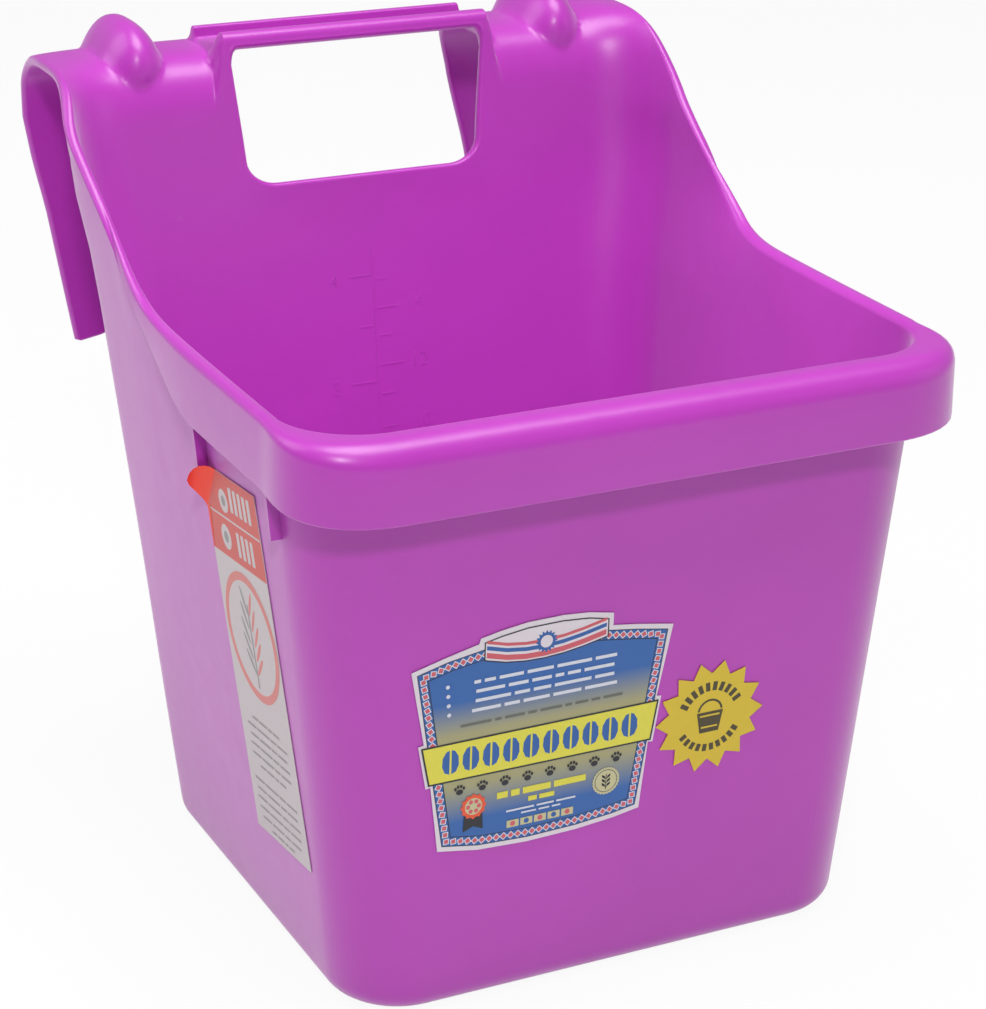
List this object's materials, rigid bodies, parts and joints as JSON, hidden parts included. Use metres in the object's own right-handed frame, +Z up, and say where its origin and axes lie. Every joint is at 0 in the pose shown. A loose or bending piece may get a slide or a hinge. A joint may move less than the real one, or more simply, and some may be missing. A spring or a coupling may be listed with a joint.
{
  "type": "hook-over feeder",
  "caption": "Tapered purple plastic feed bucket with a rolled lip, whose back climbs into two broad hooks that hang over a rail, with a hand window and bar between them.",
  "frame": {"origin": "centre of the tub's base, on the plane it stands on", "axes": "+Z up, -Y to the front of the feeder, away from the hooks, +X to the right of someone who stands at its front and looks at it along +Y"},
  "size_m": [0.3116, 0.3701, 0.365],
  "materials": {
    "purple_polyethylene": "injection-moulded polyethylene, satin gloss",
    "front_label_film": "printed vinyl sticker, glossy",
    "burst_label_film": "printed vinyl sticker, glossy",
    "side_label_paper": "coated paper sticker, matt"
  },
  "bodies": {
    "root": {"feeder_body": "purple_polyethylene", "front_label": "front_label_film", "burst_label": "burst_label_film", "side_label": "side_label_paper"}
  },
  "joints": []
}
